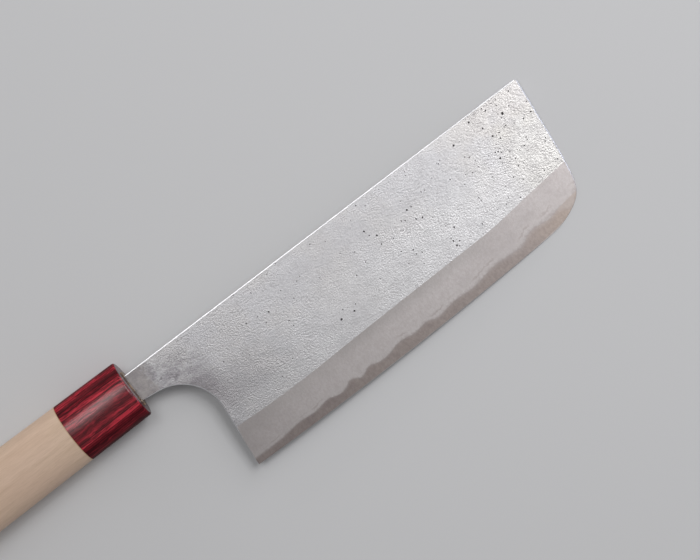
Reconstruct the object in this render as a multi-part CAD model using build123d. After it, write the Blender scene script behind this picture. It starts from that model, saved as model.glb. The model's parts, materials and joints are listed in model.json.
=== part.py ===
from build123d import *
import os

os.makedirs("parts", exist_ok=True)

# A nakiri knife with a laminated blade and an oval two-part handle.
# It is drawn level: X runs along the handle's axis to the blade's tip and is zero at
# the ferrule's front face, Y points to the spine, and Z out of the blade's right side.
# Lengths are millimetres. At the end the pieces are laid down as the knife rests.

# Blade outline
blade_length = 165.5
blade_height = 57.4
neck_length = 20.6
neck_height = 11.5
spine_rise = 5.5
choil_radius = 18.0
tip_corner_radius = 0.8
neck_flare_share = 0.13
heel_lean_share = 0.099

# Places on the blade, as shares of its length from the heel and of its height from the spine
front_start_shares = (0.983, 0.474)
tip_curve_shares = ((0.973, 0.683), (0.952, 0.846), (0.899, 0.936))
belly_end_shares = (0.808, 0.970)
belly_middle_shares = (0.425, 1.007)

# Blade thickness: at the spine over the ferrule, at the spine's tip, at the heel's
# shoulder, where the ground bevel starts, and at the cutting edge. The spine, choil and
# front are eased, and both sides of the neck are polished down in front of the ferrule.
neck_thickness = 3.8
tip_thickness = 2.0
shoulder_thickness = 2.6
edge_thickness = 0.12
rim_break = 0.4
neck_polish_length = 8.0
neck_polish_depth = 0.06

# The bevel at each station: share of the length, and of the height at shoulder and foot
bevel_station_shares = (
    (-0.080, 0.717, 1.000),
    (0.050, 0.718, 1.004),
    (0.108, 0.727, 1.006),
    (0.200, 0.731, 1.010),
    (0.314, 0.721, 1.009),
    (0.428, 0.713, 1.006),
    (0.565, 0.706, 0.999),
    (0.748, 0.698, 0.982),
    (0.794, 0.683, 0.975),
    (0.872, 0.659, 0.954),
    (0.965, 0.633, 0.915),
    (1.060, 0.610, 0.881),
)
bevel_step_share = 0.06

# Where the hard core shows on the bevel: share of the blade's length, and height of
# the forge line above the foot as a share of the bevel's width
core_line_right_shares = (
    (-0.030, 0.17), (0.050, 0.16), (0.094, 0.19), (0.134, 0.24), (0.185, 0.22),
    (0.216, 0.27), (0.237, 0.21), (0.267, 0.23), (0.285, 0.30), (0.307, 0.19),
    (0.329, 0.27), (0.353, 0.24), (0.386, 0.22), (0.413, 0.28), (0.437, 0.29),
    (0.460, 0.24), (0.490, 0.27), (0.504, 0.27), (0.523, 0.20), (0.555, 0.22),
    (0.590, 0.25), (0.625, 0.22), (0.659, 0.24), (0.694, 0.30), (0.729, 0.28),
    (0.763, 0.24), (0.784, 0.25), (0.808, 0.34), (0.832, 0.34), (0.867, 0.28),
    (0.902, 0.31), (0.947, 0.31), (1.060, 0.30),
)
core_line_left_shares = (
    (-0.030, 0.20), (0.060, 0.24), (0.110, 0.18), (0.152, 0.21), (0.201, 0.29),
    (0.232, 0.25), (0.262, 0.28), (0.311, 0.20), (0.352, 0.23), (0.388, 0.31),
    (0.421, 0.24), (0.447, 0.27), (0.498, 0.21), (0.540, 0.25), (0.566, 0.32),
    (0.603, 0.27), (0.652, 0.23), (0.690, 0.26), (0.727, 0.21), (0.768, 0.30),
    (0.802, 0.27), (0.846, 0.33), (0.885, 0.28), (0.930, 0.30), (1.060, 0.31),
)

# Tang
neck_inset = 3.0
tang_length = 98.0
tang_front_width = 9.5
tang_front_thickness = 3.2
tang_end_width = 6.0
tang_end_thickness = 2.2

# Handle: an oval that swells towards the butt, with a ferrule at the front
handle_length = 132.0
ferrule_length = 27.9
handle_front_width = 24.1
handle_front_thickness = 18.8
handle_butt_width = 27.2
handle_butt_thickness = 21.4
ferrule_rim_round = 0.9
butt_rim_round = 1.8

# Tenon and socket that join the ferrule to the wood
tenon_diameter = 14.5
tenon_length = 11.0
socket_end_gap = 0.5
glue_gap = 0.05

# Slot for the tang, its seal and its bedding
slot_margin = 2.0
slot_side_gap = 0.45
slot_corner_radius = 1.2
seal_depth = 5.0
seal_bead = 0.4
cavity_width = 10.6
cavity_thickness = 4.4
cavity_end_gap = 2.0

# How far cutting shapes run past what they cut
overrun = 2.0

# Values that follow from the sizes above
heel_x = neck_length
tip_x = heel_x + blade_length
neck_bottom = spine_rise - neck_height
neck_middle = (spine_rise + neck_bottom) / 2
edge_half = edge_thickness / 2
tenon_front = tenon_length - ferrule_length


def on_blade(length_share, height_share):
    """A point of the outline, from its shares of the blade's length and height."""
    return (heel_x + length_share * blade_length, spine_rise - height_share * blade_height)


def between(table, length_share, column):
    """A column of a table of shares, read along straight lines between its rows."""
    rows = [row for row in table if row[0] <= length_share]
    low = rows[-1] if rows else table[0]
    later = [row for row in table if row[0] > length_share]
    high = later[0] if later else table[-1]
    if high[0] == low[0]:
        return low[column]
    part_share = (length_share - low[0]) / (high[0] - low[0])
    return low[column] + part_share * (high[column] - low[column])


# Thickness of the flats: each is one plane, which thins to the tip and to the shoulder
thinning_along = (neck_thickness - tip_thickness) / 2 / tip_x
shoulder_drop = between(bevel_station_shares, 0, 1) * blade_height
shoulder_half_at_spine = neck_thickness / 2 - thinning_along * heel_x
thinning_down = (shoulder_half_at_spine - shoulder_thickness / 2) / shoulder_drop


def flat_half(x, y):
    """Distance from the blade's middle plane to its flat."""
    return neck_thickness / 2 - thinning_along * x - thinning_down * (spine_rise - y)


def ground_half(length_share, rise_share):
    """Distance from the middle plane to the bevel, at a share of the bevel's width."""
    shoulder_share = between(bevel_station_shares, length_share, 1)
    shoulder_half = flat_half(*on_blade(length_share, shoulder_share))
    return edge_half + rise_share * (shoulder_half - edge_half)


def blade_outline():
    """The blade seen from its right side, with the neck that enters the ferrule."""
    heel_corner = on_blade(0, 1)
    tip_corner = on_blade(1, 0)
    front_start = on_blade(*front_start_shares)
    belly_end = on_blade(*belly_end_shares)
    choil_fall = neck_bottom - heel_corner[1]
    choil_x = (heel_x + heel_lean_share * choil_fall) / (1 + heel_lean_share * neck_flare_share)
    choil_corner = (choil_x, neck_bottom - neck_flare_share * choil_x)
    spine = Polyline((-neck_inset, spine_rise), tip_corner, front_start)
    belly = ThreePointArc(belly_end, on_blade(*belly_middle_shares), heel_corner)
    tip_points = [on_blade(*shares) for shares in tip_curve_shares]
    tip_curve = Spline(front_start, *tip_points, belly_end, tangents=(spine % 1, belly % 0))
    choil = FilletPolyline(heel_corner, choil_corner, (0, neck_bottom), radius=choil_radius)
    neck = Polyline((0, neck_bottom), (-neck_inset, neck_bottom), (-neck_inset, spine_rise))
    return make_face(Wire([*spine.edges(), tip_curve, belly, *choil.edges(), *neck.edges()]))


def flat_plane(side):
    """The plane of the right flat (side 1) or the left one (side -1), facing outwards."""
    return Plane(
        origin=(0, spine_rise, side * neck_thickness / 2),
        z_dir=(thinning_along, -thinning_down, side),
    )


def is_eased(edge):
    """Whether an edge of a flat lies on the spine, the choil or the front."""
    place = edge.center()
    on_spine = place.Y > spine_rise - rim_break
    on_choil = 0 < place.X < heel_x + rim_break
    on_front = place.X > on_blade(*belly_end_shares)[0]
    return on_spine or on_choil or on_front


def blade_plate():
    """The forged plate between its two tapering flats, eased along its thick edges."""
    plate = extrude(Pos(0, 0, -neck_thickness) * blade_outline(), amount=2 * neck_thickness)
    plate = split(plate, bisect_by=flat_plane(1), keep=Keep.BOTTOM)
    plate = split(plate, bisect_by=flat_plane(-1), keep=Keep.BOTTOM)
    upright_edges = plate.edges().filter_by(Axis.Z)
    tip_edge = upright_edges.filter_by(lambda edge: edge.center().X > tip_x - rim_break)
    plate = fillet(tip_edge, tip_corner_radius)
    flats = plate.faces().sort_by(Axis.Z)
    flat_edges = flats[0].edges() + flats[-1].edges()
    return chamfer(flat_edges.filter_by(is_eased), rim_break)


def bevel_section(length_share):
    """What the grinding takes off the right side at one place along the blade."""
    shoulder_share = between(bevel_station_shares, length_share, 1)
    foot_share = between(bevel_station_shares, length_share, 2)
    x, shoulder_y = on_blade(length_share, shoulder_share)
    foot_y = on_blade(length_share, foot_share)[1]
    shoulder_half = flat_half(x, shoulder_y)
    slope = (shoulder_half - edge_half) / (shoulder_y - foot_y)
    low_half = edge_half - slope * overrun
    high_half = shoulder_half + slope * overrun
    return make_face(
        Polyline(
            (x, foot_y - overrun, low_half),
            (x, shoulder_y + overrun, high_half),
            (x, shoulder_y + overrun, neck_thickness),
            (x, foot_y - overrun, neck_thickness),
            close=True,
        )
    )


def bevel_waste():
    """What the grinding takes off the right side, through evenly spaced sections."""
    start_share = bevel_station_shares[0][0]
    run_share = bevel_station_shares[-1][0] - start_share
    steps = round(run_share / bevel_step_share)
    shares = [start_share + run_share * step / steps for step in range(steps + 1)]
    return loft([bevel_section(share) for share in shares])


def neck_polish(side):
    """What polishing takes off one side of the neck, from the ferrule forwards."""
    zone = Box(
        neck_inset + overrun + neck_polish_length,
        blade_height,
        2 * neck_thickness,
        align=(Align.MAX, Align.CENTER, Align.CENTER),
    )
    zone = Pos(neck_polish_length, 0, 0) * zone
    return split(zone, bisect_by=flat_plane(side).offset(-neck_polish_depth), keep=Keep.TOP)


def tang():
    """The tapering tang, which starts inside the neck."""
    front = Plane.YZ * Rectangle(tang_front_width, tang_front_thickness)
    end = Plane.YZ.offset(-tang_length) * Rectangle(tang_end_width, tang_end_thickness)
    return loft([front, end], ruled=True)


def whole_blade():
    """Blade, neck and tang as one forging, before it is divided into its layers."""
    waste = bevel_waste()
    blade = blade_plate() - waste - mirror(waste, about=Plane.XY)
    return blade - neck_polish(1) - neck_polish(-1) + tang()


def core_layer():
    """The hard layer as it lies in the billet, with an uneven face on each side."""
    sides = []
    for side, table in ((1, core_line_right_shares), (-1, core_line_left_shares)):
        points = [
            (heel_x + share * blade_length, side * ground_half(share, line_share))
            for share, line_share in table
        ]
        tang_end = (-tang_length - overrun, points[0][1])
        sides.append((tang_end, points))
    right_start, right_points = sides[0]
    left_start, left_points = sides[1]
    right = [Line(right_start, right_points[0]), Spline(*right_points)]
    left = [Line(left_start, left_points[0]), Spline(*left_points)]
    ends = [Line(right_start, left_start), Line(right_points[-1], left_points[-1])]
    profile = Plane.XZ * make_face(Wire([*right, *left, *ends]))
    return extrude(profile, amount=blade_height + overrun, both=True)


def handle_blank():
    """The whole oval handle, with its front and butt rims rounded."""
    front = Plane.YZ * Ellipse(handle_front_width / 2, handle_front_thickness / 2)
    butt = Plane.YZ.offset(-handle_length) * Ellipse(
        handle_butt_width / 2, handle_butt_thickness / 2
    )
    blank = loft([front, butt], ruled=True)
    blank = fillet(blank.faces().sort_by(Axis.X)[-1].edges(), ferrule_rim_round)
    return fillet(blank.faces().sort_by(Axis.X)[0].edges(), butt_rim_round)


def slot_between(front_x, back_x):
    """The slot's space from one X to another, wider than the neck all round."""
    outline = RectangleRounded(
        neck_height + 2 * slot_margin,
        neck_thickness + 2 * slot_side_gap,
        slot_corner_radius,
    )
    return extrude(
        Plane.YZ.offset(back_x) * Pos(neck_middle, 0) * outline, amount=front_x - back_x
    )


def seal():
    """The resin that closes the slot, with a small bead in front of the ferrule."""
    plug = slot_between(seal_bead, -seal_depth)
    front_rim = plug.faces().sort_by(Axis.X)[-1].edges()
    return chamfer(front_rim, seal_bead / 2) - forging


def cavity():
    """The hole in the tenon and the wood that takes the tang."""
    depth = tenon_front + tang_length + cavity_end_gap
    outline = Rectangle(cavity_width, cavity_thickness)
    return extrude(Plane.YZ.offset(tenon_front) * outline, amount=-depth)


def ferrule(blank):
    """The laminated ferrule: slot at the front, round socket at the back."""
    body = split(blank, bisect_by=Plane.YZ.offset(-ferrule_length), keep=Keep.TOP)
    socket = extrude(
        Plane.YZ.offset(-ferrule_length) * Circle(tenon_diameter / 2 + glue_gap),
        amount=tenon_length + socket_end_gap,
    )
    return body - socket - slot_between(0, tenon_front)


def handle_body(blank):
    """The wooden grip, turned down to a tenon at the front."""
    body = split(blank, bisect_by=Plane.YZ.offset(-ferrule_length), keep=Keep.BOTTOM)
    tenon = extrude(
        Plane.YZ.offset(-ferrule_length) * Circle(tenon_diameter / 2), amount=tenon_length
    )
    return body + tenon - cavity()


def tip_curve_foot(length_share, height_share):
    """The lower corner of the blade's rim at a point of the tip's curve."""
    shoulder_share = between(bevel_station_shares, length_share, 1)
    foot_share = between(bevel_station_shares, length_share, 2)
    rise_share = (foot_share - height_share) / (foot_share - shoulder_share)
    return Vector(*on_blade(length_share, height_share), -ground_half(length_share, rise_share))


forging = whole_blade()
core = core_layer()
outer_layers = (forging - core).solids().sort_by(Axis.Z)
blank = handle_blank()

pieces = {
    "core_steel": forging & core,
    "cladding_right": outer_layers[-1],
    "cladding_left": outer_layers[0],
    "ferrule": ferrule(blank),
    "handle_body": handle_body(blank),
    "tang_seal": seal(),
    "tang_bedding": slot_between(-seal_depth, tenon_front) + cavity() - forging,
}

# The knife lies on its left side: it stands on the bottom of the ferrule's front and
# on the middle of the tip's curve, with the table along that curve's chord
ferrule_foot = Vector(0, 0, -handle_front_thickness / 2)
curve_top, curve_foot, curve_end = [tip_curve_foot(*shares) for shares in tip_curve_shares]
upwards = (curve_foot - ferrule_foot).cross(curve_top - curve_end)
table = Plane(origin=ferrule_foot, x_dir=(1, 0, 0), z_dir=upwards)
laid = {name: piece.moved(table.location.inverse()) for name, piece in pieces.items()}
box = Compound(list(laid.values())).bounding_box()
to_origin = Pos(-box.center().X, -box.center().Y, -box.min.Z)

for name, piece in laid.items():
    export_step(piece.moved(to_origin), f"parts/{name}.step")
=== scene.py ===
"""A nakiri knife: blade layers, ferrule and grip finished around the fixed frame."""

import json
import math
import random

import bmesh
import bpy
from mathutils import Matrix, Vector


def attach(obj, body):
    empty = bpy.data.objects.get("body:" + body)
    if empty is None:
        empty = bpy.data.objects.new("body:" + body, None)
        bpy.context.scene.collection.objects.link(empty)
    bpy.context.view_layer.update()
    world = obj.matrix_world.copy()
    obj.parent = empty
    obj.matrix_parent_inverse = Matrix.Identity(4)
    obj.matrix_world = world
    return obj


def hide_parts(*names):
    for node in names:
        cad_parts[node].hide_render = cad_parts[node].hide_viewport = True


bl_info = {
    "name": "Nakiri Knife",
    "version": (1, 0, 0),
    "blender": (4, 5, 0),
    "location": "3D View > Sidebar > Knife",
    "description": "Builds a laminated vegetable knife with an oval two-part handle",
    "category": "Object",
}

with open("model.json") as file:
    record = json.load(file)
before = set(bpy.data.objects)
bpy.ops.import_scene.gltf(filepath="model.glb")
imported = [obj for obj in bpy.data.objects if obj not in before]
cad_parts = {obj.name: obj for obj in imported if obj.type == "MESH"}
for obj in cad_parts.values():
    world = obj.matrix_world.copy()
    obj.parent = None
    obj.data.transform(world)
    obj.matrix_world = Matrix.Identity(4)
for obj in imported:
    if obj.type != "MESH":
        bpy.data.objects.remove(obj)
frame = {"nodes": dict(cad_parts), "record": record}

MM = 0.001
PICTURE_WIDTH = 700

# How far a corner may lie off a plane that it counts as in, and how near two corners of
# the frame's loose triangles lie that are one, in metres
IN_PLANE = 0.01 * MM
SAME_CORNER = 0.001 * MM

# How far the slot's tool stands out of both ends of the ferrule, in metres
OVERCUT = 1 * MM

# The ferrule's plies, stacked alike above and below the handle's middle: the first joint,
# a ply's thickness and a joint's width in millimetres, and how bright each ply is dyed
FIRST_JOINT = 0.66
PLY_THICKNESS = 0.88
PLY_JOINT = 0.26
PLY_TONES = (0.17, 0.2, 0.17, 0.22, 0.55, 0.6, 0.4, 0.14, 0.31, 0.92, 0.45)

# The core's corners this near its middle plane, in metres, are the cutting edge's; about
# how many points of the forge line are followed; and the bevel's run for its rise
EDGE_REACH = 0.12 * MM
LINE_POINTS = 60
BEVEL_RUN = 13.0

# How far the skin's pattern is moved on each side, in millimetres, so that they differ
PATTERN_OFFSET = 31.0

# A face of the blade is rim where it looks out less than RIM_LEAN, and bevel where it
# turns from the flat by more than BEVEL_TURN; a face of the ferrule is an end where it
# looks along the axis more than END_LEAN. These are their places among the materials
RIM_LEAN = 0.97
BEVEL_TURN = math.radians(0.6)
END_LEAN = 0.95
BEVEL, RIM = 1, 2
PLY_END = 1

# Pits drawn at random: the seeds of the right and the left side, how many more the left
# has, how far they keep from heel and tip, the rows and the widths that they lie between,
# in millimetres, and how near two come as a share of their widths
PIT_SEEDS = {1: 7, -1: 23}
MORE_LEFT_PITS = 20
PITS_FROM_HEEL, PITS_FROM_TIP = 12, 6
PIT_ROWS = (3.5, -31)
PIT_WIDTHS = (0.28, 0.5)
PIT_SPACING = 0.6

# Half a pit's length and half its breadth as shares of its width
PIT_OUTLINE = (0.55, 0.45)

# Pits of the right flat that are in set places: along the handle's axis, across it, and
# how wide they are, in millimetres
RIGHT_PITS = (
    (105.4, -5.9, 0.8), (108.4, -10.1, 0.8), (106.1, -8.3, 0.5), (107.8, -13.7, 0.6),
    (123.2, -9.3, 0.8), (126.2, -15.1, 0.7), (123.9, -14.1, 0.6), (133.5, -25.3, 0.7),
    (130.1, -29.2, 0.7), (132.0, -30.6, 0.6), (130.2, -31.4, 0.8), (112.0, -20.5, 0.5),
    (116.0, -22.7, 0.6), (116.1, -24.7, 0.5), (111.6, -25.9, 0.5), (84.4, -27.6, 0.8),
    (78.6, -27.2, 0.9), (108.9, 3.7, 0.5), (174.0, -2.1, 1.1), (165.9, -6.7, 0.8),
    (163.1, -15.1, 0.8), (164.6, -2.2, 0.7), (179.3, -8.5, 0.6), (183.0, -8.1, 0.7),
    (169.6, 2.6, 0.7), (168.7, -7.1, 0.6), (166.9, -21.6, 0.6), (173.2, -16.8, 0.6),
    (180.5, -20.2, 0.6), (152.0, -0.6, 0.9), (161.8, 2.8, 0.8), (168.8, 4.0, 0.6),
    (172.2, -6.5, 0.6), (172.6, -1.2, 0.4), (174.1, 1.4, 0.5), (180.9, 3.2, 0.6),
    (163.0, -12.2, 0.6), (164.0, -12.6, 0.6), (165.0, -12.0, 0.4), (164.8, -13.5, 0.5),
    (164.0, -10.8, 0.4), (165.0, -10.0, 0.4), (170.9, -17.1, 0.5), (170.2, -16.4, 0.4),
    (169.2, -21.9, 0.4), (175.5, -15.7, 0.4), (175.4, -7.7, 0.4), (181.5, -19.2, 0.4),
    (167.2, -7.5, 0.4), (131.6, -7.1, 0.5), (143.1, -10.1, 0.5), (154.5, -12.6, 0.5),
    (130.9, -32.2, 0.5), (156.6, -28.9, 0.4), (138.0, -5.4, 0.4), (129.3, -17.3, 0.4),
    (58.4, -8.3, 0.7), (62.6, -15.5, 0.5), (69.2, -11.3, 0.4), (81.5, -9.7, 0.4),
    (93.2, -17.4, 0.5), (93.2, -7.0, 0.4), (33.5, -13.0, 0.5), (41.2, -14.6, 0.4),
)

# The lamps: name, tilts from the blade's normal towards the tip and the spine in degrees,
# distance from the blade and size in metres, level, colour, and spread in degrees
WHITE = (1, 1, 1)
LAMPS = (
    ("key_light", 29, 7, 1.2, (0.54, 0.53), 6.0, WHITE, 180),
    ("butt_light", -9, 22.5, 1.2, (0.36, 0.44), 4.0, WHITE, 180),
    ("soft_light", -9, 7, 1.2, (0.36, 0.26), 1.3, WHITE, 180),
    ("fill_light", 58, 42, 1.3, (0.8, 0.9), 1.7, WHITE, 180),
    ("spine_strip", 10, 84, 0.9, (0.7, 0.18), 3.0, WHITE, 180),
    ("tip_strip", 82, -60, 0.9, (0.5, 0.15), 0.75, (0.74, 0.79, 1.0), 60),
)


class KnifeBlade(bpy.types.PropertyGroup):
    """Sizes of the blade and its finish."""

    neck_length: bpy.props.FloatProperty(
        name="Neck length", description="From the ferrule's face to the heel",
        default=20.6 * MM, unit="LENGTH")
    blade_length: bpy.props.FloatProperty(
        name="Blade length", description="From the heel to the tip",
        default=165.5 * MM, unit="LENGTH")
    pit_depth_share: bpy.props.FloatProperty(
        name="Pit depth", description="Depth of a pit as a share of its width",
        default=0.28, min=0.1, max=0.5, subtype="FACTOR")
    small_pits: bpy.props.IntProperty(
        name="Small pits", description="How many pits each flat draws at random",
        default=60, min=0, max=200)
    skin_depth: bpy.props.FloatProperty(
        name="Skin depth", description="Depth of the forged skin's dimples",
        default=0.1 * MM, unit="LENGTH")


class KnifeHandle(bpy.types.PropertyGroup):
    """Sizes of the handle."""

    length: bpy.props.FloatProperty(
        name="Handle length", description="From the ferrule's face to the butt",
        default=132 * MM, unit="LENGTH")
    ferrule_length: bpy.props.FloatProperty(
        name="Ferrule length", description="Length of the laminated collar",
        default=27.9 * MM, unit="LENGTH")
    front_width: bpy.props.FloatProperty(
        name="Front width", description="The oval's long axis at the front",
        default=24.1 * MM, unit="LENGTH")
    front_thickness: bpy.props.FloatProperty(
        name="Front thickness", description="The oval's short axis at the front",
        default=18.8 * MM, unit="LENGTH")
    butt_width: bpy.props.FloatProperty(
        name="Butt width", description="The oval's long axis at the butt",
        default=27.2 * MM, unit="LENGTH")
    butt_thickness: bpy.props.FloatProperty(
        name="Butt thickness", description="The oval's short axis at the butt",
        default=21.4 * MM, unit="LENGTH")
    front_round: bpy.props.FloatProperty(
        name="Front rim", description="Radius of the ferrule's front rim",
        default=0.9 * MM, unit="LENGTH")
    butt_round: bpy.props.FloatProperty(
        name="Butt rim", description="Radius of the butt's rim",
        default=1.8 * MM, unit="LENGTH")
    tenon_diameter: bpy.props.FloatProperty(
        name="Tenon diameter", description="The round tenon that the ferrule sits on",
        default=14.5 * MM, unit="LENGTH")
    tenon_length: bpy.props.FloatProperty(
        name="Tenon length", description="How far the tenon enters the ferrule",
        default=11 * MM, unit="LENGTH")
    slot_corner: bpy.props.FloatProperty(
        name="Slot corner", description="Radius of the tang slot's long corners",
        default=1.2 * MM, unit="LENGTH")


class KnifeColours(bpy.types.PropertyGroup):
    """Colours of the finishes."""

    skin: bpy.props.FloatVectorProperty(
        name="Forged skin", description="Matt steel of the flats",
        default=(0.56, 0.553, 0.571), subtype="COLOR")
    skin_warm: bpy.props.FloatVectorProperty(
        name="Warm skin", description="Warmer patches of the flats",
        default=(0.567, 0.548, 0.54), subtype="COLOR")
    # Painted light: the colour that the flat's lower part and the strip beside the shoulder are
    # lightened to
    skin_painted_light: bpy.props.FloatVectorProperty(
        name="Light skin", description="Brighter steel of the flat's lower part",
        default=(0.652, 0.644, 0.658), subtype="COLOR")
    # The steel's own darker tone in clouds and hollows, and painted shade over the heel and below
    # the choil notch
    skin_dark_and_painted_shade: bpy.props.FloatVectorProperty(
        name="Skin shade", description="Darker steel in dimples, clouds and at the heel",
        default=(0.275, 0.258, 0.27), subtype="COLOR")
    smudge: bpy.props.FloatVectorProperty(
        name="Smudge", description="Purple-grey forge marks over the neck",
        default=(0.16, 0.145, 0.16), subtype="COLOR")
    # Also the colour of the painted shade on the bevel
    neck: bpy.props.FloatVectorProperty(
        name="Polished neck", description="Smooth steel at the ferrule, and shade on the bevel",
        default=(0.33, 0.307, 0.30), subtype="COLOR")
    scale: bpy.props.FloatVectorProperty(
        name="Forge scale", description="Dark scale in pits and pores",
        default=(0.10, 0.092, 0.098), subtype="COLOR")
    scale_dark: bpy.props.FloatVectorProperty(
        name="Dark scale", description="The darkest grit in the pits",
        default=(0.05, 0.045, 0.045), subtype="COLOR")
    # Painted warm light cast on the flat's lower tip
    tip_painted_warm_light: bpy.props.FloatVectorProperty(
        name="Tip tint", description="The faint tan cast of the flat's lower tip",
        default=(1.0, 0.995, 0.955), subtype="COLOR")
    rim: bpy.props.FloatVectorProperty(
        name="Polished rim", description="Bright steel of the spine, front and choil",
        default=(0.86, 0.86, 0.88), subtype="COLOR")
    rim_dull: bpy.props.FloatVectorProperty(
        name="Rim scratch", description="Duller scratches in the polished rim",
        default=(0.76, 0.76, 0.78), subtype="COLOR")
    bevel: bpy.props.FloatVectorProperty(
        name="Ground bevel", description="Satin steel of the bevel",
        default=(0.497, 0.463, 0.464), subtype="COLOR")
    # Lighter clouds of the bevel, and also painted light on its middle and along the cutting edge
    bevel_clouds_and_painted_light: bpy.props.FloatVectorProperty(
        name="Bevel cloud", description="Lighter clouds of the bevel",
        default=(0.582, 0.548, 0.547), subtype="COLOR")
    forge_line: bpy.props.FloatVectorProperty(
        name="Forge line", description="The lighter steel over the forge line",
        default=(0.56, 0.525, 0.52), subtype="COLOR")
    core_light: bpy.props.FloatVectorProperty(
        name="Core cloud", description="Lighter clouds of the core",
        default=(0.42, 0.362, 0.342), subtype="COLOR")
    core_tip: bpy.props.FloatVectorProperty(
        name="Core at the tip", description="The core's beige end",
        default=(0.437, 0.366, 0.328), subtype="COLOR")
    core: bpy.props.FloatVectorProperty(
        name="Core steel", description="The hard layer along the edge",
        default=(0.35, 0.298, 0.288), subtype="COLOR")
    dye: bpy.props.FloatVectorProperty(
        name="Ferrule dye", description="The brightest ply of the ferrule",
        default=(0.5, 0.03, 0.05), subtype="COLOR")
    dye_dark: bpy.props.FloatVectorProperty(
        name="Ferrule glue line", description="The dark joint between two plies",
        default=(0.03, 0.003, 0.005), subtype="COLOR")
    # Darker end grain, with painted shade on the ferrule's front face
    ply_end: bpy.props.FloatVectorProperty(
        name="Ferrule end", description="The plies' darkened end grain",
        default=(0.04, 0.012, 0.015), subtype="COLOR")
    wood: bpy.props.FloatVectorProperty(
        name="Pale wood", description="The grip's ground colour",
        default=(0.685, 0.51, 0.385), subtype="COLOR")
    wood_ring: bpy.props.FloatVectorProperty(
        name="Wood ring", description="The grip's darker growth rings",
        default=(0.56, 0.405, 0.285), subtype="COLOR")
    wood_blush: bpy.props.FloatVectorProperty(
        name="Wood blush", description="Pinker clouds in the grip's wood",
        default=(0.64, 0.45, 0.35), subtype="COLOR")
    wood_pore: bpy.props.FloatVectorProperty(
        name="Wood pore", description="The grip's fine fibres and pores",
        default=(0.36, 0.24, 0.155), subtype="COLOR")
    wood_glue: bpy.props.FloatVectorProperty(
        name="Joint line", description="The yellowed glue line beside the ferrule",
        default=(0.30, 0.18, 0.055), subtype="COLOR")
    resin: bpy.props.FloatVectorProperty(
        name="Resin", description="The seal round the tang",
        default=(0.27, 0.185, 0.11), subtype="COLOR")
    resin_dark: bpy.props.FloatVectorProperty(
        name="Resin cloud", description="Darker clouds in the seal",
        default=(0.10, 0.07, 0.05), subtype="COLOR")


class KnifeStage(bpy.types.PropertyGroup):
    """Floor, light and camera."""

    floor: bpy.props.FloatVectorProperty(
        name="Floor", description="Colour of the plain floor",
        default=(0.62, 0.62, 0.63), subtype="COLOR")
    sky: bpy.props.FloatProperty(
        name="Sky level", description="Level of the light from all round",
        default=0.22, min=0, max=1)
    camera_height: bpy.props.FloatProperty(
        name="Camera height", description="From the blade's middle plane to the camera",
        default=670 * MM, unit="LENGTH")
    camera_turn: bpy.props.FloatProperty(
        name="Camera turn", description="How far the blade points above the picture's side",
        default=math.radians(37.3), subtype="ANGLE", unit="ROTATION")
    picture_scale: bpy.props.FloatProperty(
        name="Picture scale", description="Picture points per millimetre of the blade",
        default=2.645, min=1, max=10)
    centre_along: bpy.props.FloatProperty(
        name="Centre along", description="Place along the knife at the picture's middle",
        default=90.15 * MM, unit="LENGTH")
    centre_across: bpy.props.FloatProperty(
        name="Centre across", description="Place across the knife at the picture's middle",
        default=-17.3 * MM, unit="LENGTH")


def knife_axes():
    """The matrix from the level knife to its place at rest.

    The level knife has its zero at the middle of the ferrule's face, X along the
    handle's axis to the tip, Y to the spine and Z out of the blade's right side.
    """
    mounts = {mount["name"]: mount for mount in frame["record"]["mounts"]}
    along = -Vector(mounts["butt_end"]["axis"])
    outwards = Vector(mounts["right_flat"]["axis"]) - Vector(mounts["left_flat"]["axis"])
    outwards = (outwards - outwards.dot(along) * along).normalized()
    across = outwards.cross(along)
    length = bpy.context.scene.knife_handle.length
    centre = Vector(mounts["butt_end"]["pos_m"]) + length * along
    turn = Matrix((along, across, outwards)).transposed().to_4x4()
    return Matrix.Translation(centre) @ turn


# Materials

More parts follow.
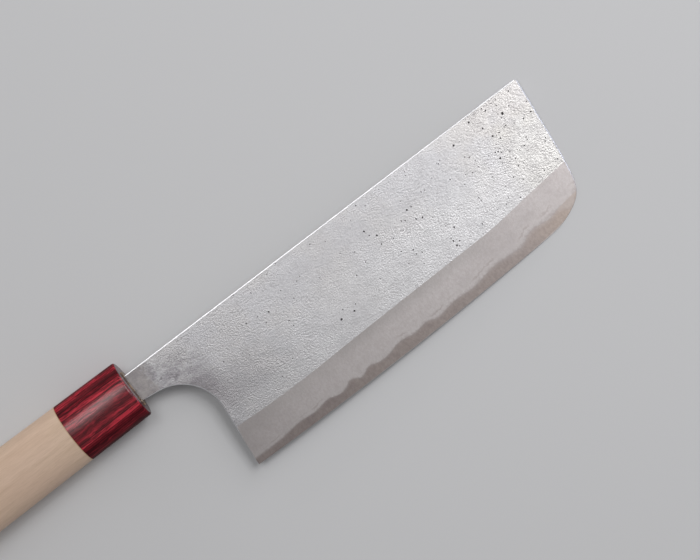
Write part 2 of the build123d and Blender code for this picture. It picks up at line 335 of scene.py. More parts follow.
class Finish:
    """One material under way; most calls add a node and give back its output."""

    def __init__(self, name):
        self.material = bpy.data.materials.new(name)
        self.material.use_nodes = True
        self.tree = self.material.node_tree
        self.shader = self.tree.nodes["Principled BSDF"]
        self.colours = bpy.context.scene.knife_colours

    def add(self, kind, inputs, output=0, **settings):
        """Adds one node and gives back one of its outputs."""
        node = self.tree.nodes.new("ShaderNode" + kind)
        for name, value in settings.items():
            setattr(node, name, value)
        for socket, value in inputs.items():
            self.feed(node.inputs[socket], value)
        return node.outputs[output]

    def feed(self, socket, value):
        """Joins an output to a socket, or sets its value."""
        if isinstance(value, bpy.types.NodeSocket):
            self.tree.links.new(value, socket)
        else:
            socket.default_value = value

    def coat(self, **values):
        """Sets or joins the shader's own sockets, named with underscores."""
        for name, value in values.items():
            self.feed(self.shader.inputs[name.replace("_", " ")], value)

    def place(self):
        """Place on the level knife, in millimetres."""
        axes = knife_axes()
        inputs = {"Vector": self.add("TexCoord", {}, "Object"), "Location": axes.translation,
                  "Rotation": axes.to_euler(), "Scale": (MM, MM, MM)}
        return self.add("Mapping", inputs, vector_type="TEXTURE")

    def parts(self, vector):
        """A vector's three parts, or a colour's."""
        return self.add("SeparateXYZ", {0: vector}).node.outputs

    def math(self, operation, first, second=0.0, third=0.0, clamp=False):
        """One Math node, with its result kept between 0 and 1 where it is clamped."""
        inputs = {0: first, 1: second, 2: third}
        return self.add("Math", inputs, operation=operation, use_clamp=clamp)

    def times(self, first, *others):
        """The product of two or more values."""
        for other in others:
            first = self.math("MULTIPLY", first, other)
        return first

    def move(self, vector, away):
        """Places moved by a vector."""
        return self.add("VectorMath", {0: vector, 1: away}, operation="ADD")

    def stretch(self, vector, amounts):
        """Places multiplied along each axis, so that a pattern grows finer there."""
        return self.add("VectorMath", {0: vector, 1: amounts}, operation="MULTIPLY")

    def shift(self, vector, source, reach):
        """Moves the places by a soft colour noise, up to about reach each way."""
        away = self.add("VectorMath", {0: source, 1: (0.5, 0.5, 0.5)}, operation="SUBTRACT")
        far = self.add("VectorMath", {0: away, "Scale": 2 * reach}, operation="SCALE")
        return self.move(vector, far)

    def noise(self, vector, scale, detail=2.0, roughness=0.5, output="Fac"):
        """Soft noise about 0.5, at a scale in waves to the millimetre."""
        inputs = {"Vector": vector, "Scale": scale, "Detail": detail, "Roughness": roughness}
        return self.add("TexNoise", inputs, output)

    def cells(self, vector, scale):
        """The distance to the nearest of random points, and that point's random values."""
        cell = self.add("TexVoronoi", {"Vector": vector, "Scale": scale}).node
        return cell.outputs["Distance"], self.parts(cell.outputs["Color"])

    def span(self, value, low, high, to_low=0.0, to_high=1.0, smooth=True):
        """Maps low to high onto two new values, with nothing past them."""
        kind = "SMOOTHSTEP" if smooth else "LINEAR"
        inputs = {"Value": value, 1: low, 2: high, 3: to_low, 4: to_high}
        return self.add("MapRange", inputs, interpolation_type=kind)

    def window(self, value, start, full_from, full_to, end):
        """Rises from start, is 1 in the middle, and falls to 0 at the end."""
        return self.times(self.span(value, start, full_from), self.span(value, end, full_to))

    def blend(self, share, first, second, mode="MIX"):
        """The first colour with a share of the second."""
        inputs = {0: share, 6: rgba(first), 7: rgba(second)}
        return self.add("Mix", inputs, 2, data_type="RGBA", blend_type=mode)

    def layers(self, colour, *coats):
        """A colour with shares of others laid over it, one after another."""
        for share, over in coats:
            colour = self.blend(share, colour, over)
        return colour

    def relief(self, height, depth, under=None):
        """Bumps of a depth, in metres, over another relief."""
        inputs = {"Height": height, "Distance": depth}
        if under is not None:
            inputs["Normal"] = under
        return self.add("Bump", inputs)

    def satin(self, colour, pattern, roughness, depth, metal=0.0):
        """The material, with one pattern's roughness and relief, the depth in millimetres."""
        self.coat(Base_Color=colour, Metallic=metal,
                  Roughness=self.span(pattern, 0.3, 0.7, *roughness),
                  Normal=self.relief(pattern, depth * MM))
        return self.material


def rgba(colour):
    """A colour with its fourth value, or a socket as it is."""
    if isinstance(colour, bpy.types.NodeSocket):
        return colour
    return (*colour[:3], 1.0)


# In the materials, along is measured from the ferrule's face to the tip, across from the
# handle's axis to the spine, and out from the blade's middle plane, in millimetres

def skin_dimples(finish, place, along, forged):
    """The forge's soft unevenness, and the height of the dimples and wrinkles."""
    drift = finish.noise(place, 0.11, output="Color")
    moved = finish.shift(place, drift, 1.6)
    uneven = finish.noise(moved, 0.09, 3.0, 0.6)
    calm = finish.window(along, 45, 85, 90, 112)
    swell = finish.math("MULTIPLY_ADD", calm, -0.4, finish.span(along, 145, 180, 1.08, 1.5))
    swell = finish.times(swell, finish.span(uneven, 0.35, 0.65, 0.75, 1.25),
                         finish.span(along, 95, 60, 1.0, 1.1))
    dimples = finish.noise(finish.stretch(moved, (0.9, 1.1, 1)), 1.7, 2.0, 0.6)
    wrinkles = finish.noise(finish.stretch(moved, (0.6, 1.1, 1)), 1.5)
    wrinkled = finish.times(finish.span(finish.noise(place, 0.06), 0.45, 0.6),
                            finish.span(along, 80, 150, 0.1, 0.6))
    skin = finish.add("Mix", {0: wrinkled, 2: dimples, 3: wrinkles})
    fading = finish.span(forged, 0, 1, 0.5, 1.0, smooth=False)
    return uneven, finish.times(finish.math("SUBTRACT", skin, 0.5), swell, fading)


def skin_pores(finish, place, along):
    """Small round pores, richer towards the tip."""
    blade = bpy.context.scene.knife_blade
    tip = (blade.neck_length + blade.blade_length) / MM
    distance, chances = finish.cells(place, 0.8)
    crowd = finish.span(finish.noise(place, 0.07), 0.42, 0.62)
    richness = finish.math(
        "MULTIPLY_ADD", finish.span(along, 90, tip, 0.05, 0.3), crowd, 0.025)
    rarity = finish.math("SUBTRACT", 1.0, richness)
    radius = finish.span(chances[0], rarity, 1.0, 0.0, 0.28)
    return finish.span(finish.math("SUBTRACT", radius, distance), 0.0, 0.07)


def skin_grains(finish, place, along):
    """Small raised grains, fewer towards the tip."""
    distance, chances = finish.cells(finish.move(place, (3.7, 9.1, 0)), 0.9)
    radius = finish.span(chances[1], 0.86, 1.0, 0.0, 0.22)
    grain = finish.span(finish.math("SUBTRACT", radius, distance), 0.0, 0.08)
    return finish.times(grain, finish.span(along, 85, 115, 0.6, 0.1))


def skin_steel(finish, place, along, across, height):
    """The skin's steel: warm patches, lower parts brightened by painted light, a faintly tan tip of
    painted warm light, darker clouds and hollows, and painted shade over the heel and below the
    choil notch."""
    colours = finish.colours
    warm = finish.times(finish.span(finish.noise(place, 0.045, 3.0, 0.55), 0.4, 0.62),
                        finish.span(along, 130, 172, 0.45, 1.0))
    steel = finish.blend(warm, colours.skin, colours.skin_warm)

    # Painted light: the flat's lower part, and a strip beside the shoulder, are lightened towards
    # the brighter skin colour
    lower = finish.span(across, -4, -26)
    beside_shoulder = finish.span(across, -24, -34)
    strip = finish.times(beside_shoulder, finish.span(along, 40, 80, 0.3, 1.0),
                         finish.span(along, 125, 160, 1.0, 0.75))
    bright = finish.times(lower, finish.span(along, 45, 100, 0.05, 0.8))
    steel = finish.blend(finish.math("MAXIMUM", bright, strip), steel, colours.skin_painted_light)
    # Painted warm light: the flat's lower tip is tinted faintly tan
    tip = finish.times(finish.span(across, -2, -10), finish.span(along, 158, 170))
    steel = finish.blend(tip, steel, colours.tip_painted_warm_light, "MULTIPLY")

    clouds = finish.span(finish.noise(place, 0.2, 3.0, 0.55), 0.38, 0.66, 0.0, 0.1)
    clouds = finish.times(clouds, finish.span(along, 150, 172, 1.0, 2.4))
    hollow = finish.span(height, 0.06, -0.26, 0.0, 0.42, smooth=False)
    # Painted shade: the heel, and the flat below the choil notch, are darkened towards the shade
    # colour; the clouds and the hollows are the steel's own darker tone
    heel = finish.times(finish.span(along, 62, 30), finish.span(lower, 0, 1, 0.1, 0.5),
                        finish.span(beside_shoulder, 0, 1, 1.0, 0.3))
    notch_painted_shade = finish.times(finish.span(along, 33, 22), finish.span(across, 0, -14),
                         finish.span(across, -27, -16, 0.0, 0.5))
    shades = (clouds, hollow, finish.math("ADD", heel, notch_painted_shade, clamp=True))
    return finish.layers(steel, *((shade, colours.skin_dark_and_painted_shade) for shade in shades))


def forge_smudges(finish, place, along, across, ground, forged, steel):
    """Purple-grey smudges over the neck, and its polished end at the ferrule."""
    colours = finish.colours
    soot = finish.noise(finish.stretch(place, (0.9, 1.2, 1)), 0.28, 5.0, 0.7)
    smudge = finish.times(forged, finish.span(along, 34, 12),
                          finish.span(across, 5, -6, 0.15, 1.0),
                          finish.span(soot, 0.36, 0.66))
    edge = finish.times(finish.window(ground, 7.6, 8.8, 9.6, 12),
                        finish.span(soot, 0.3, 0.6, 0.1, 0.75))
    dark = finish.times(finish.math("MAXIMUM", smudge, edge), 0.85)
    polished = finish.times(finish.math("SUBTRACT", 1.0, forged), 0.9)
    tint = finish.span(soot, 0.35, 0.65, 0.0, 0.55)
    return finish.layers(steel, (dark, colours.smudge),
                         (polished, finish.blend(tint, colours.neck, colours.smudge)))


def forged_skin(offset):
    """The matt flat as it left the forge; the offset sets one side's pattern apart."""
    finish = Finish("forged_skin")
    level = finish.place()
    place = finish.move(level, (offset, offset, 0))
    along, across, _ = finish.parts(level)
    worn = finish.span(finish.noise(place, 0.5, 3.0, 0.6), 0.3, 0.7, -1.6, 1.6, smooth=False)
    ground = finish.math("ADD", along, worn)
    forged = finish.span(ground, 6.6, 9.4)

    uneven, height = skin_dimples(finish, place, along, forged)
    pores = skin_pores(finish, place, along)
    grains = skin_grains(finish, place, along)
    marks = finish.times(finish.math("SUBTRACT", grains, pores), forged)
    under = finish.relief(height, bpy.context.scene.knife_blade.skin_depth)

    steel = skin_steel(finish, place, along, across, height)
    steel = forge_smudges(finish, place, along, across, ground, forged, steel)
    steel = finish.blend(finish.times(pores, 0.75), steel, finish.colours.scale)
    finish.coat(Base_Color=steel, Metallic=1.0,
                Roughness=finish.span(uneven, 0.3, 0.7, 0.385, 0.415),
                Normal=finish.relief(marks, 0.08 * MM, under))
    return finish.material


def core_line(side):
    """The hard layer's face on one side: places along the knife and distances from its
    middle plane, in millimetres, read from the frame."""
    level = knife_axes().inverted()
    neck = bpy.context.scene.knife_blade.neck_length
    found = {}
    for vertex in frame["nodes"]["core_steel"].data.vertices:
        point = level @ vertex.co
        if point.x > neck and side * point.z > EDGE_REACH:
            found[round(point.x / MM, 1)] = side * point.z / MM
    return sorted(found.items())


def over_core(finish, side, along, out):
    """Height over one side's forge line, in millimetres along the bevel."""
    line = core_line(side)
    line = line[::max(1, len(line) // LINE_POINTS)]
    last = line[-1][0]
    node = finish.add("FloatCurve", {"Value": finish.math("DIVIDE", along, last)}).node
    curve = node.mapping.curves[0]
    for number, (x, z) in enumerate(line):
        if number < 2:
            curve.points[number].location = (x / last, z)
        else:
            curve.points.new(x / last, z)
    node.mapping.use_clip = False
    node.mapping.update()
    gap = finish.math("SUBTRACT", finish.times(out, side), node.outputs[0])
    return finish.times(gap, BEVEL_RUN)


def ground_bevel(side):
    """The satin bevel, which darkens into the core along the forge line, with painted light over
    its middle and painted shade on its upper part.
    """
    finish = Finish("ground_bevel")
    colours = finish.colours
    place = finish.place()
    along, across, out = finish.parts(place)
    rise = over_core(finish, side, along, out)
    jitter = finish.span(finish.noise(place, 0.8), 0.3, 0.7, -0.25, 0.25, smooth=False)
    ragged = finish.math("ADD", rise, jitter)
    clouds = finish.noise(place, 0.12, 3.0, 0.55)
    mottle = finish.noise(finish.stretch(place, (1.3, 0.8, 1)), 1.0, 5.0, 0.8)
    scratches = finish.noise(finish.stretch(place, (4.0, 0.25, 1)), 1.6, 3.0, 0.6)

    # Painted light: the bevel's middle is lightened towards its lighter colour, besides its own
    # clouds
    middle = finish.window(along, 28, 58, 95, 155)
    light = finish.math("ADD", finish.span(clouds, 0.35, 0.65, 0, 0.5), middle, clamp=True)
    # Painted shade: the bevel's upper part, its end towards the tip and a lip below the shoulder
    # are darkened towards the neck's colour
    upper_painted_shade = finish.times(finish.span(rise, 2, 13), finish.span(along, 168, 110))
    shade = finish.math("MULTIPLY_ADD", upper_painted_shade, 0.5, finish.span(along, 120, 150, 0, 0.14))
    lip_painted_shade = finish.times(finish.window(along, 62, 76, 134, 148),
                       finish.span(across, -41, -36, 0.0, 0.24))
    shade = finish.math("ADD", shade, lip_painted_shade, clamp=True)

    halo = finish.window(ragged, 0.3, 0.9, 1.0, 2.8)
    feather = finish.times(finish.window(ragged, 1.0, 1.25, 1.35, 1.6),
                           finish.span(clouds, 0.45, 0.6))
    steel = finish.layers(
        colours.bevel, (light, colours.bevel_clouds_and_painted_light),
        (finish.span(mottle, 0.35, 0.65, 0, 0.36), colours.core), (shade, colours.neck),
        (finish.times(halo, 0.35), colours.forge_line), (finish.times(feather, 0.45), colours.core),
        (finish.span(ragged, 0.6, -0.3, 0.0, 0.7), colours.core))
    return finish.satin(steel, scratches, (0.38, 0.46), 0.009, metal=1.0)


def hard_core():
    """The core where it shows: taupe and finely stoned, beige near the tip, with a painted
    highlight along the cutting edge.
    """
    finish = Finish("hard_core")
    colours = finish.colours
    place = finish.place()
    along, _, out = finish.parts(place)
    clouds = finish.noise(place, 0.25, 3.0, 0.55)
    mottle = finish.noise(finish.stretch(place, (1.3, 0.8, 1)), 0.7, 5.0, 0.75)
    scratches = finish.noise(finish.stretch(place, (3.0, 0.3, 1)), 2.2, 3.0, 0.6)

    # Lighter clouds, and lighter from 35 to 95 mm along the blade
    light = finish.math("ADD", finish.span(clouds, 0.35, 0.65, 0, 0.5),
                        finish.span(along, 35, 95, 0, 0.7), clamp=True)
    on_right = finish.math("GREATER_THAN", out, 0.0)
    left, right = (over_core(finish, side, along, out) for side in (-1, 1))
    rise = finish.add("Mix", {0: on_right, 2: left, 3: right})
    # Painted highlight: a thin line along the cutting edge is lightened
    painted_edge_highlight = finish.span(finish.math("ABSOLUTE", out), 0.07, 0.062)
    steel = finish.layers(
        colours.core, (light, colours.core_light),
        (finish.span(along, 148, 170), colours.core_tip),
        (finish.span(mottle, 0.35, 0.65, 0, 0.2), colours.scale),
        (finish.span(rise, -0.9, 0.3, 0.0, 0.35), colours.bevel),
        (finish.times(painted_edge_highlight, 0.5), colours.bevel_clouds_and_painted_light))
    return finish.satin(steel, scratches, (0.34, 0.42), 0.003, metal=1.0)


def polished_rim():
    """The eased and polished narrow faces: spine, front and choil."""
    finish = Finish("polished_rim")
    scratches = finish.noise(finish.stretch(finish.place(), (0.3, 3.0, 3.0)), 1.5, 3.0, 0.6)
    steel = finish.layers(finish.colours.rim,
                          (finish.span(scratches, 0.3, 0.7), finish.colours.rim_dull))
    return finish.satin(steel, scratches, (0.28, 0.36), 0.001, metal=1.0)


def pit_scale():
    """Dark scale left in the pits."""
    finish = Finish("pit_scale")
    grit = finish.noise(finish.place(), 6.0, 3.0, 0.6)
    scale = finish.layers(finish.colours.scale,
                          (finish.span(grit, 0.35, 0.65), finish.colours.scale_dark))
    finish.coat(Base_Color=scale, Metallic=0.6, Roughness=0.6,
                Normal=finish.relief(grit, 0.02 * MM))
    return finish.material


def ply_tone(finish, height, half):
    """How bright the ply is dyed at each height over the handle's middle plane."""
    node = finish.add("ValToRGB", {0: finish.math("DIVIDE", height, half)}).node
    ramp = node.color_ramp
    stops = []
    for number, (below, above) in enumerate(zip(PLY_TONES, PLY_TONES[1:])):
        joint = FIRST_JOINT + number * PLY_THICKNESS
        stops += [(joint - PLY_JOINT / 2, below), (joint, 0.0), (joint + PLY_JOINT / 2, above)]
    for position, tone in stops:
        step = ramp.elements.new(position / half)
        step.color = rgba([tone] * 3)
    ramp.elements[0].color = rgba([PLY_TONES[0]] * 3)
    ramp.elements[-1].color = rgba([PLY_TONES[-1]] * 3)
    return finish.parts(node.outputs["Color"])[0]


def dyed_plies(name, flank_gloss, face_gloss, darkening):
    """The ferrule's laminate: red plies with dark joints, glossier on the broad faces, with painted
    light on the spine-side flank and painted shade on the edge-side flank and under the sheen.
    """
    half = bpy.context.scene.knife_handle.front_thickness / 2 / MM
    finish = Finish(name)
    colours = finish.colours
    place = finish.place()
    along, across, out = finish.parts(place)
    drift = finish.noise(finish.stretch(place, (0.10, 0.3, 0.3)), 1.0, output="Color")
    moved = finish.shift(place, drift, 1.4)
    waver = finish.noise(finish.stretch(place, (0.12, 1, 1)), 0.5)
    flames = finish.noise(finish.stretch(moved, (0.05, 0.9, 0.9)), 1.0, 3.0, 0.55)
    fibres = finish.noise(finish.stretch(moved, (0.09, 1.9, 1.9)), 1.2, 4.0, 0.65)

    height = finish.math("ABSOLUTE", out)
    wavy = finish.math("ADD", height, finish.span(waver, 0.3, 0.7, -0.09, 0.09, smooth=False))
    # Painted shade: a dark streak just below the sheen, from 3.8 mm below the axis to 1.6 mm above
    # it
    painted_shade_streak = finish.window(across, -3.8, -2.4, -0.2, 1.6)
    # Painted light: the tone is raised up to 1.6 times on the spine-side flank, beyond 8.8 mm from
    # the axis
    tone = finish.times(ply_tone(finish, wavy, half),
                        finish.span(flames, 0.34, 0.64, 0.35, 1.3),
                        finish.span(fibres, 0.32, 0.66, 0.35, 1.5),
                        finish.span(across, 8.8, 9.8, 1.0, 1.6),
                        finish.span(painted_shade_streak, 0, 1, 1.0, 0.65, smooth=False))
    # Painted shade: the plies darken on the edge-side flank, from 8 mm below the axis
    low_flank_painted_shade = finish.span(across, -8, -11, 1.0, 0.4)
    tone = finish.math("MULTIPLY", tone, low_flank_painted_shade, clamp=True)
    # The ply ends darken towards the end colour: darker end grain, with painted shade laid over it
    dye = finish.layers(colours.dye_dark, (tone, colours.dye), (darkening, colours.ply_end))

    gloss = finish.times(
        finish.span(height, 0.74 * half, 0.92 * half, flank_gloss, face_gloss),
        finish.span(along, -26, -4, 0.86, 1.0))
    finish.coat(Base_Color=dye, Roughness=0.5, Coat_Weight=gloss, Coat_Roughness=0.2,
                Normal=finish.relief(fibres, 0.01 * MM), Specular_IOR_Level=0.05)
    return finish.material


def pale_wood():
    """The grip's wood: pale and close-grained, with faint rings and a glued joint."""
    sizes = bpy.context.scene.knife_handle
    joint = -sizes.ferrule_length / MM
    butt = -sizes.length / MM
    finish = Finish("pale_wood")
    colours = finish.colours
    place = finish.place()
    along = finish.parts(place)[0]
    drift = finish.noise(finish.stretch(place, (0.02, 0.12, 0.12)), 1.0, output="Color")
    moved = finish.shift(place, drift, 3.0)
    rings = finish.noise(finish.stretch(moved, (0.010, 0.22, 0.3)), 1.0, 3.0, 0.55)
    fibres = finish.noise(finish.stretch(place, (0.14, 4.5, 4.5)), 1.2, 4.0, 0.6)
    blush = finish.noise(place, 0.05)
    distance, _ = finish.cells(finish.stretch(place, (0.22, 3.0, 3.0)), 1.0)
    pore = finish.span(distance, 0.2, 0.1)

    glue = finish.span(along, joint - 0.45, joint - 0.1, 0.0, 0.6)
    end_grain = finish.span(along, butt + 0.5, butt + 0.1, 0.0, 0.22)
    wood = finish.layers(
        colours.wood, (finish.span(rings, 0.36, 0.66, 0.0, 0.75), colours.wood_ring),
        (finish.span(blush, 0.35, 0.65, 0.0, 0.35), colours.wood_blush),
        (finish.span(fibres, 0.38, 0.72, 0.0, 0.3), colours.wood_pore),
        (finish.times(pore, 0.2), colours.wood_pore), (glue, colours.wood_glue),
        (end_grain, colours.wood_pore))

    height = finish.math("MULTIPLY_ADD", pore, -0.6, fibres)
    finish.coat(Base_Color=wood, Roughness=finish.span(fibres, 0.3, 0.7, 0.48, 0.6),
                Normal=finish.relief(height, 0.015 * MM))
    return finish.material


def cured_resin():
    """The tan seal in the ferrule's slot."""
    finish = Finish("cured_resin")
    clouds = finish.noise(finish.place(), 0.7, 3.0, 0.65)
    resin = finish.layers(finish.colours.resin,
                          (finish.span(clouds, 0.4, 0.58), finish.colours.resin_dark))
    return finish.satin(resin, clouds, (0.32, 0.5), 0.08)


# Modelling

def only(piece):
    """Makes one object the selected and active one."""
    bpy.ops.object.select_all(action="DESELECT")
    piece.select_set(True)
    bpy.context.view_layer.objects.active = piece


def pick(piece, mode, test):
    """In edit mode, selects the faces or edges that pass a test, and nothing else."""
    bpy.ops.mesh.select_mode(type=mode)
    bpy.ops.mesh.select_all(action="DESELECT")
    shape = bmesh.from_edit_mesh(piece.data)
    shape.normal_update()
    for item in (shape.faces if mode == "FACE" else shape.edges):
        item.select_set(test(item))
    bmesh.update_edit_mesh(piece.data)


def lies_at(place):
    """A test for the faces or edges that lie at one place along the axis."""
    return lambda item: all(abs(v.co.x - place) < IN_PLANE for v in item.verts)


def cut(piece, tool):
    """Cuts a tool out of a piece, which gets the tool's materials, and removes the tool."""
    only(piece)
    change = piece.modifiers.new("cut", "BOOLEAN")
    change.operation = "DIFFERENCE"
    change.object = tool
    change.solver = "EXACT"
    change.material_mode = "TRANSFER"
    bpy.ops.object.modifier_apply(modifier=change.name)
    bpy.data.objects.remove(tool)


def smooth(piece, angle=30):
    """Shades a piece smooth, but for edges sharper than an angle in degrees."""
    only(piece)
    bpy.ops.object.shade_smooth_by_angle(angle=math.radians(angle))


def seat(piece, node):
    """Lays a finished piece in its place at rest, where it stands for its node."""
    only(piece)
    piece.matrix_world = knife_axes() @ piece.matrix_world
    bpy.ops.object.transform_apply()
    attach(piece, "root")
    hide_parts(node)


def coat_node(node, material):
    """Gives a node of the frame its material, and no other."""
    materials = frame["nodes"][node].data.materials
    materials.clear()
    materials.append(material)


def level_copy(node, name):
    """A copy of a node with its loose triangles merged, laid level."""
    piece = bpy.data.objects.new(name, frame["nodes"][node].data.copy())
    bpy.context.scene.collection.objects.link(piece)
    piece.data.materials.clear()
    only(piece)
    piece.matrix_world = knife_axes().inverted()
    bpy.ops.object.transform_apply()
    bpy.ops.object.mode_set(mode="EDIT")
    bpy.ops.mesh.select_all(action="SELECT")
    bpy.ops.mesh.remove_doubles(threshold=SAME_CORNER)
    bpy.ops.mesh.customdata_custom_splitnormals_clear()
    bpy.ops.object.mode_set(mode="OBJECT")
    return piece


def bar(name, front, back, width, thickness, corner):
    """A bar along the axis, with its long edges rounded."""
    bpy.ops.mesh.primitive_cube_add(size=1, location=((front + back) / 2, 0, 0))
    piece = bpy.context.object
    piece.name = name
    piece.scale = (front - back, width, thickness)
    bpy.ops.object.transform_apply()
    bpy.ops.object.mode_set(mode="EDIT")
    pick(piece, "EDGE", lambda edge: abs((edge.verts[0].co - edge.verts[1].co).x) > corner)
    bpy.ops.mesh.bevel(offset=corner, segments=5, affect="EDGES")
    bpy.ops.object.mode_set(mode="OBJECT")
    return piece


def oval_at(place):
    """The handle's width and thickness at one place along its axis."""
    sizes = bpy.context.scene.knife_handle
    share = -place / sizes.length
    width = sizes.front_width + share * (sizes.butt_width - sizes.front_width)
    thick = sizes.front_thickness + share * (sizes.butt_thickness - sizes.front_thickness)
    return width, thick


def oval(name, front, back):
    """The handle's oval between two places along its axis."""
    bpy.ops.mesh.primitive_cylinder_add(
        vertices=128, radius=0.5, depth=front - back,
        location=((front + back) / 2, 0, 0), rotation=(0, math.pi / 2, 0))
    piece = bpy.context.object
    piece.name = name
    bpy.ops.object.transform_apply()
    bpy.ops.object.mode_set(mode="EDIT")
    for place in (front, back):
        pick(piece, "FACE", lies_at(place))
        bpy.ops.transform.resize(value=(1, *oval_at(place)), center_override=(place, 0, 0))
    bpy.ops.object.mode_set(mode="OBJECT")
    return piece


def round_rim(piece, place, radius, segments):
    """Rounds the oval's rim at one place along the axis."""
    bpy.ops.object.mode_set(mode="EDIT")
    pick(piece, "EDGE", lies_at(place))
    bpy.ops.mesh.bevel(offset=radius, segments=segments, affect="EDGES")
    bpy.ops.object.mode_set(mode="OBJECT")


def pit_places(side):
    """Places and widths of the pits on one flat, in millimetres."""
    blade = bpy.context.scene.knife_blade
    draw = random.Random(PIT_SEEDS[side])
    pits = list(RIGHT_PITS) if side > 0 else []
    wanted = len(pits) + blade.small_pits + (MORE_LEFT_PITS if side < 0 else 0)
    first = blade.neck_length / MM + PITS_FROM_HEEL
    room = blade.blade_length / MM - PITS_FROM_HEEL - PITS_FROM_TIP
    while len(pits) < wanted:
        share = max(draw.random(), draw.random())
        x = first + share * room
        y = draw.uniform(*PIT_ROWS)
        width = draw.uniform(*PIT_WIDTHS)
        if all(math.hypot(x - a, y - b) > PIT_SPACING * (width + c) for a, b, c in pits):
            pits.append((x, y, width))
    return pits


def widest_face(piece, side):
    """The largest face on one side of the blade, which lies in its flat."""
    return max(piece.data.polygons, key=lambda face: face.area * (side * face.normal.z > 0.9))


def pit_tool(piece, side, material):
    """Small balls sunk into one flat, as one cutting tool."""
    blade = bpy.context.scene.knife_blade
    flat = widest_face(piece, side)
    on_flat, normal = flat.center.copy(), flat.normal.copy()
    made = []
    bpy.ops.mesh.primitive_ico_sphere_add(subdivisions=2, radius=1)
    ball = bpy.context.object
    ball.data.materials.append(material)
    for x, y, width in pit_places(side):
        x, y, width = x * MM, y * MM, width * MM
        z = on_flat.z - (normal.x * (x - on_flat.x) + normal.y * (y - on_flat.y)) / normal.z
        copy = ball.copy()
        copy.data = ball.data.copy()
        copy.location = (x, y, z)
        copy.scale = [share * width for share in (*PIT_OUTLINE, blade.pit_depth_share)]
        copy.rotation_euler = (0, 0, x / MM)
        bpy.context.scene.collection.objects.link(copy)
        made.append(copy)
    bpy.data.objects.remove(ball)
    bpy.ops.object.select_all(action="DESELECT")
    for copy in made:
        copy.select_set(True)
    bpy.context.view_layer.objects.active = made[0]
    bpy.ops.object.join()
    bpy.ops.object.transform_apply()
    return made[0]


def cladding(side, node, name):
    """One outer layer of the blade: sunk pits, and a finish for each kind of face."""
    piece = level_copy(node, name)
    for material in (forged_skin(side * PATTERN_OFFSET), ground_bevel(side), polished_rim()):
        piece.data.materials.append(material)
    flat = widest_face(piece, side)
    for face in piece.data.polygons:
        if side * face.normal.z < RIM_LEAN:
            face.material_index = RIM
        elif face.normal.angle(flat.normal) > BEVEL_TURN:
            face.material_index = BEVEL
    cut(piece, pit_tool(piece, side, pit_scale()))
    smooth(piece, angle=12)
    seat(piece, node)


def tang_slot(front, back):
    """A tool for the tang's slot, as wide and thick as the seal that closes it."""
    level = knife_axes().inverted()
    corners = [level @ vertex.co for vertex in frame["nodes"]["tang_seal"].data.vertices]
    across = [corner.y for corner in corners]
    out = [corner.z for corner in corners]
    slot = bar("slot", front, back, max(across) - min(across), max(out) - min(out),
               bpy.context.scene.knife_handle.slot_corner)
    slot.location.y += (max(across) + min(across)) / 2
    return slot


class KNIFE_OT_claddings(bpy.types.Operator):
    """Make both outer layers of the blade"""

    bl_idname = "knife.claddings"
    bl_label = "Blade claddings"

    def execute(self, context):
        cladding(1, "cladding_right", "blade_right_cladding")
        cladding(-1, "cladding_left", "blade_left_cladding")
        return {"FINISHED"}


class KNIFE_OT_core(bpy.types.Operator):
    """Finish the hard core, which shows along the edge"""

    bl_idname = "knife.core"
    bl_label = "Blade core"

    def execute(self, context):
        coat_node("core_steel", hard_core())
        return {"FINISHED"}


class KNIFE_OT_ferrule(bpy.types.Operator):
    """Make the laminated ferrule with its slot and socket"""

    bl_idname = "knife.ferrule"
    bl_label = "Ferrule"

    def execute(self, context):
        sizes = context.scene.knife_handle
        back = -sizes.ferrule_length
        piece = oval("ferrule_collar", 0.0, back)
        round_rim(piece, 0.0, sizes.front_round, segments=4)
        for plies in (
            dyed_plies("dyed_plies", flank_gloss=0.03, face_gloss=1.0, darkening=0.0),
            dyed_plies("ply_ends", flank_gloss=0.8, face_gloss=0.8, darkening=0.85),
        ):
            piece.data.materials.append(plies)
        cut(piece, tang_slot(OVERCUT, back - OVERCUT))
        bpy.ops.mesh.primitive_cylinder_add(
            vertices=64, radius=sizes.tenon_diameter / 2, depth=2 * sizes.tenon_length,
            location=(back, 0, 0), rotation=(0, math.pi / 2, 0))
        cut(piece, bpy.context.object)
        for face in piece.data.polygons:
            face.material_index = PLY_END if abs(face.normal.x) > END_LEAN else 0
        smooth(piece)
        seat(piece, "ferrule")
        return {"FINISHED"}


class KNIFE_OT_grip(bpy.types.Operator):
    """Make the wooden grip with its tenon"""

    bl_idname = "knife.grip"
    bl_label = "Grip"

    def execute(self, context):
        sizes = context.scene.knife_handle
        front = -sizes.ferrule_length
        piece = oval("wooden_grip", front, -sizes.length)
        round_rim(piece, -sizes.length, sizes.butt_round, segments=6)
        narrowing = (1, *(sizes.tenon_diameter / size for size in oval_at(front)))
        bpy.ops.object.mode_set(mode="EDIT")
        pick(piece, "FACE", lies_at(front))
        bpy.ops.mesh.extrude_region_move()
        bpy.ops.transform.resize(value=narrowing, center_override=(front, 0, 0))
        bpy.ops.mesh.extrude_region_move(
            TRANSFORM_OT_translate={"value": (sizes.tenon_length, 0, 0)})
        bpy.ops.object.mode_set(mode="OBJECT")
        piece.data.materials.append(pale_wood())
        smooth(piece)
        seat(piece, "handle_body")
        return {"FINISHED"}


class KNIFE_OT_resin(bpy.types.Operator):
    """Finish the seal and the bedding round the tang"""

    bl_idname = "knife.resin"
    bl_label = "Tang resin"

    def execute(self, context):
        resin = cured_resin()
        for node in ("tang_seal", "tang_bedding"):
            coat_node(node, resin)
        return {"FINISHED"}


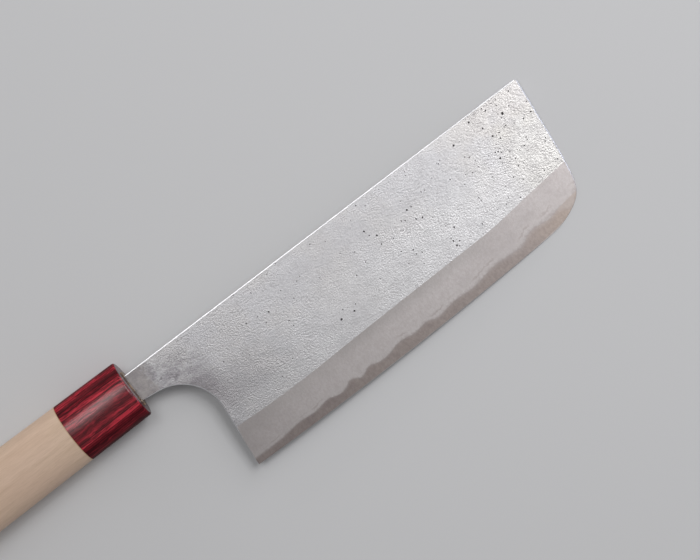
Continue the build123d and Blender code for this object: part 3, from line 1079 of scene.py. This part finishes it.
def softbox(name, to_tip, to_spine, distance, size, level, colour, spread):
    """An area light over the picture's middle, as a row of LAMPS describes it."""
    stage = bpy.context.scene.knife_stage
    centre = Vector((stage.centre_along, stage.centre_across, 0))
    tilts = (math.tan(math.radians(to_tip)), math.tan(math.radians(to_spine)))
    way = Vector((*tilts, 1)).normalized()
    lamp = bpy.data.lights.new(name, "AREA")
    lamp.shape = "RECTANGLE"
    lamp.size, lamp.size_y = size
    lamp.energy = level * math.pi * size[0] * size[1]
    lamp.color = colour
    lamp.spread = math.radians(spread)
    body = bpy.data.objects.new(name, lamp)
    body.visible_camera = False
    bpy.context.scene.collection.objects.link(body)
    axes = knife_axes()
    body.location = axes @ (centre + distance * way)
    aim = axes.to_3x3() @ -way
    body.rotation_euler = aim.to_track_quat("-Z", "Y").to_euler()


class KNIFE_OT_stage(bpy.types.Operator):
    """Set the floor, the light and the camera"""

    bl_idname = "knife.stage"
    bl_label = "Stage"

    def execute(self, context):
        stage = context.scene.knife_stage
        bpy.ops.object.select_all(action="DESELECT")
        bpy.ops.mesh.primitive_circle_add(vertices=96, radius=6, fill_type="NGON")
        floor = context.object
        floor.name = "floor"
        finish = Finish("plain_floor")
        finish.coat(Base_Color=rgba(stage.floor), Roughness=0.9, Specular_IOR_Level=0.1)
        floor.data.materials.append(finish.material)

        world = bpy.data.worlds.new("studio")
        world.use_nodes = True
        shade = world.node_tree.nodes["Background"]
        shade.inputs["Color"].default_value = rgba(WHITE)
        shade.inputs["Strength"].default_value = stage.sky
        context.scene.world = world
        for lamp in LAMPS:
            softbox(*lamp)

        lens = bpy.data.cameras.new("camera")
        lens.sensor_fit = "HORIZONTAL"
        seen = PICTURE_WIDTH / stage.picture_scale * MM
        lens.angle = 2 * math.atan(seen / 2 / stage.camera_height)
        camera = bpy.data.objects.new("camera", lens)
        context.scene.collection.objects.link(camera)
        centre = (stage.centre_along, stage.centre_across, stage.camera_height)
        turn = Matrix.Rotation(-stage.camera_turn, 4, "Z")
        camera.matrix_world = knife_axes() @ Matrix.Translation(centre) @ turn
        context.scene.camera = camera
        context.scene.view_settings.view_transform = "Standard"
        return {"FINISHED"}


class KNIFE_PT_panel(bpy.types.Panel):
    """The knife's sizes, colours and steps"""

    bl_label = "Nakiri knife"
    bl_idname = "KNIFE_PT_panel"
    bl_space_type = "VIEW_3D"
    bl_region_type = "UI"
    bl_category = "Knife"

    def draw(self, context):
        for name, group in GROUPS.items():
            box = self.layout.box()
            box.label(text=group.__doc__)
            values = getattr(context.scene, name)
            for value in group.__annotations__:
                box.prop(values, value)
        for step in STEPS:
            self.layout.operator(step.bl_idname)


GROUPS = {
    "knife_blade": KnifeBlade,
    "knife_handle": KnifeHandle,
    "knife_colours": KnifeColours,
    "knife_stage": KnifeStage,
}
STEPS = (
    KNIFE_OT_claddings,
    KNIFE_OT_core,
    KNIFE_OT_ferrule,
    KNIFE_OT_grip,
    KNIFE_OT_resin,
    KNIFE_OT_stage,
)


def register():
    for group in (*GROUPS.values(), *STEPS, KNIFE_PT_panel):
        bpy.utils.register_class(group)
    for name, group in GROUPS.items():
        setattr(bpy.types.Scene, name, bpy.props.PointerProperty(type=group))


def unregister():
    for name in GROUPS:
        delattr(bpy.types.Scene, name)
    for group in reversed((*GROUPS.values(), *STEPS, KNIFE_PT_panel)):
        bpy.utils.unregister_class(group)


def main():
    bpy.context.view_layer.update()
    register()
    bpy.ops.knife.claddings()
    bpy.ops.knife.core()
    bpy.ops.knife.ferrule()
    bpy.ops.knife.grip()
    bpy.ops.knife.resin()
    bpy.ops.knife.stage()


if __name__ == "__main__":
    main()
